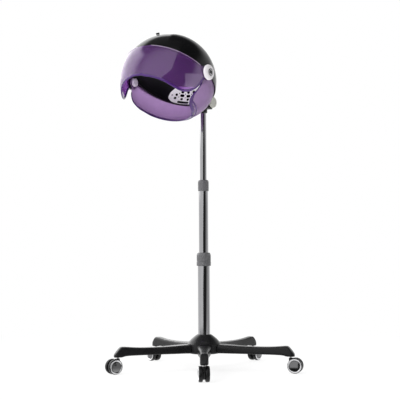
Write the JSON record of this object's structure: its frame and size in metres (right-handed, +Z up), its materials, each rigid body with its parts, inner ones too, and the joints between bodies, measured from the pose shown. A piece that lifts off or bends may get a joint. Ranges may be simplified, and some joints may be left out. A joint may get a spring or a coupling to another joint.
{
  "type": "hood hair dryer",
  "caption": "Hood hair dryer: round hood with a flip-up translucent front visor, tilting on a telescopic column over a rolling five-star base.",
  "frame": {"origin": "on the floor, under the axis of the column", "axes": "+Z up along the column, the hood faces -Y, its two side pivots lie along X"},
  "size_m": [0.6792, 0.7112, 1.1543],
  "materials": {
    "base_plastic": "satin dark charcoal, fine moulded grain",
    "caster_wheel": "black tread with a bright ring round a dark glossy disc",
    "steel": "plain zinc plated",
    "column_metal": "chrome plated, slightly brushed",
    "collar_plastic": "satin grey with fine vertical grip grooves",
    "moulded_plastic": "plain moulded",
    "black_gloss": "polished black",
    "bowl_black": "satin black",
    "purple_clear": "translucent purple, polished",
    "grille_grey": "light silver grey",
    "white_gloss": "polished white",
    "knob_grey": "satin warm grey",
    "mica": "mica board",
    "heater_wire": "oxidised resistance wire"
  },
  "bodies": {
    "base": {"base_hub": "base_plastic", "hub_cover": "base_plastic", "column_bolt": "steel", "leg_1": "base_plastic", "leg_2": "base_plastic", "leg_3": "base_plastic", "leg_4": "base_plastic", "leg_5": "base_plastic", "lower_tube": "column_metal", "lower_bush": "moulded_plastic"},
    "caster_1": {"caster_1_housing": "base_plastic", "caster_1_stem": "steel"},
    "wheel_1_left": {"caster_1_wheel_left": "caster_wheel"},
    "wheel_1_right": {"caster_1_wheel_right": "caster_wheel"},
    "caster_2": {"caster_2_housing": "base_plastic", "caster_2_stem": "steel"},
    "wheel_2_left": {"caster_2_wheel_left": "caster_wheel"},
    "wheel_2_right": {"caster_2_wheel_right": "caster_wheel"},
    "caster_3": {"caster_3_housing": "base_plastic", "caster_3_stem": "steel"},
    "wheel_3_left": {"caster_3_wheel_left": "caster_wheel"},
    "wheel_3_right": {"caster_3_wheel_right": "caster_wheel"},
    "caster_4": {"caster_4_housing": "base_plastic", "caster_4_stem": "steel"},
    "wheel_4_left": {"caster_4_wheel_left": "caster_wheel"},
    "wheel_4_right": {"caster_4_wheel_right": "caster_wheel"},
    "caster_5": {"caster_5_housing": "base_plastic", "caster_5_stem": "steel"},
    "wheel_5_left": {"caster_5_wheel_left": "caster_wheel"},
    "wheel_5_right": {"caster_5_wheel_right": "caster_wheel"},
    "lower_collar": {"lower_collar": "collar_plastic"},
    "middle_column": {"middle_tube": "column_metal", "upper_bush": "moulded_plastic"},
    "upper_collar": {"upper_collar": "collar_plastic"},
    "upper_column": {"upper_tube": "column_metal"},
    "head": {"head_bracket": "black_gloss"},
    "tilt_clamp": {"tilt_knob": "knob_grey"},
    "hood": {"hood_lug": "black_gloss", "dome_shell": "black_gloss", "rear_shield": "purple_clear", "inner_bowl": "bowl_black", "air_grille": "grille_grey", "pivot_cap_right": "white_gloss", "pivot_cap_left": "white_gloss", "pivot_screw_right": "black_gloss", "pivot_screw_left": "black_gloss", "pivot_nut_right": "knob_grey", "pivot_nut_left": "knob_grey", "visor_stop": "black_gloss", "intake_grille": "black_gloss", "fan_housing": "moulded_plastic", "fan_motor": "steel", "heater_frame": "mica", "heater_coil": "heater_wire", "control_housing": "black_gloss", "mains_inlet": "black_gloss"},
    "visor": {"front_visor": "purple_clear"},
    "fan": {"impeller": "moulded_plastic"},
    "timer": {"timer_knob": "white_gloss"},
    "rocker": {"rocker_switch": "white_gloss"}
  },
  "joints": [
    {"name": "caster_1_swivel", "type": "hinge", "parent": "base", "child": "caster_1", "pos_m": [0.18656, -0.24758, 0.0542], "axis": [0, 0, 1], "continuous": true},
    {"name": "wheel_1_left_roll", "type": "hinge", "parent": "caster_1", "child": "wheel_1_left", "pos_m": [0.16753, -0.24318, 0.026], "axis": [-0.7431, -0.6691, 0], "continuous": true},
    {"name": "wheel_1_right_roll", "type": "hinge", "parent": "caster_1", "child": "wheel_1_right", "pos_m": [0.18418, -0.22819, 0.026], "axis": [-0.7431, -0.6691, 0], "continuous": true},
    {"name": "caster_2_swivel", "type": "hinge", "parent": "base", "child": "caster_2", "pos_m": [0.29311, 0.10093, 0.0542], "axis": [0, 0, 1], "continuous": true},
    {"name": "wheel_2_left_roll", "type": "hinge", "parent": "caster_2", "child": "wheel_2_left", "pos_m": [0.30375, 0.1173, 0.026], "axis": [-0.3746, 0.9272, 0], "continuous": true},
    {"name": "wheel_2_right_roll", "type": "hinge", "parent": "caster_2", "child": "wheel_2_right", "pos_m": [0.31214, 0.09653, 0.026], "axis": [-0.3746, 0.9272, 0], "continuous": true},
    {"name": "caster_3_swivel", "type": "hinge", "parent": "base", "child": "caster_3", "pos_m": [-0.00541, 0.30995, 0.0542], "axis": [0, 0, 1], "continuous": true},
    {"name": "wheel_3_left_roll", "type": "hinge", "parent": "caster_3", "child": "wheel_3_left", "pos_m": [-0.01716, 0.32555, 0.026], "axis": [-0.9994, -0.0349, 0], "continuous": true},
    {"name": "wheel_3_right_roll", "type": "hinge", "parent": "caster_3", "child": "wheel_3_right", "pos_m": [0.00522, 0.32633, 0.026], "axis": [-0.9994, -0.0349, 0], "continuous": true},
    {"name": "caster_4_swivel", "type": "hinge", "parent": "base", "child": "caster_4", "pos_m": [-0.29645, 0.09063, 0.0542], "axis": [0, 0, 1], "continuous": true},
    {"name": "wheel_4_left_roll", "type": "hinge", "parent": "caster_4", "child": "wheel_4_left", "pos_m": [-0.31513, 0.08493, 0.026], "axis": [-0.309, -0.9511, 0], "continuous": true},
    {"name": "wheel_4_right_roll", "type": "hinge", "parent": "caster_4", "child": "wheel_4_right", "pos_m": [-0.30821, 0.10623, 0.026], "axis": [-0.309, -0.9511, 0], "continuous": true},
    {"name": "caster_5_swivel", "type": "hinge", "parent": "base", "child": "caster_5", "pos_m": [-0.17781, -0.25394, 0.0542], "axis": [0, 0, 1], "continuous": true},
    {"name": "wheel_5_left_roll", "type": "hinge", "parent": "caster_5", "child": "wheel_5_left", "pos_m": [-0.1721, -0.27261, 0.026], "axis": [0.9511, -0.309, 0], "continuous": true},
    {"name": "wheel_5_right_roll", "type": "hinge", "parent": "caster_5", "child": "wheel_5_right", "pos_m": [-0.1934, -0.26569, 0.026], "axis": [0.9511, -0.309, 0], "continuous": true},
    {"name": "lower_collar_twist", "type": "hinge", "parent": "base", "child": "lower_collar", "pos_m": [0, 0, 0.387], "axis": [0, 0, 1], "range_deg": [0, 90]},
    {"name": "height_lower", "type": "slide", "parent": "base", "child": "middle_column", "axis": [0, 0, 1], "range_m": [-0.205, 0.04]},
    {"name": "upper_collar_twist", "type": "hinge", "parent": "middle_column", "child": "upper_collar", "pos_m": [0, 0, 0.648], "axis": [0, 0, 1], "range_deg": [0, 90]},
    {"name": "height_upper", "type": "slide", "parent": "middle_column", "child": "upper_column", "axis": [0, 0, 1], "range_m": [-0.2, 0.05]},
    {"name": "head_swivel", "type": "hinge", "parent": "upper_column", "child": "head", "pos_m": [0, 0, 0.915], "axis": [0, 0, 1], "range_deg": [-170, 170]},
    {"name": "tilt_knob_turn", "type": "hinge", "parent": "head", "child": "tilt_clamp", "pos_m": [0, 0, 0.94], "axis": [1, 0, 0], "range_deg": [-180, 180]},
    {"name": "hood_tilt", "type": "hinge", "parent": "head", "child": "hood", "pos_m": [0, 0, 0.94], "axis": [1, 0, 0], "range_deg": [-30, 20]},
    {"name": "visor_flip", "type": "hinge", "parent": "hood", "child": "visor", "pos_m": [0, -0.1924, 1.006], "axis": [-1, 0, 0], "range_deg": [0, 31]},
    {"name": "fan_spin", "type": "hinge", "parent": "hood", "child": "fan", "pos_m": [0, -0.12717, 1.0962], "axis": [0, 0.5299, 0.848], "continuous": true},
    {"name": "timer_turn", "type": "hinge", "parent": "hood", "child": "timer", "pos_m": [0.02, -0.01805, 1.03852], "axis": [0, -0.9659, -0.2588], "range_deg": [0, 300]},
    {"name": "rocker_press", "type": "hinge", "parent": "hood", "child": "rocker", "pos_m": [-0.026, -0.01757, 1.03865], "axis": [1, 0, 0], "range_deg": [-8, 8]}
  ]
}
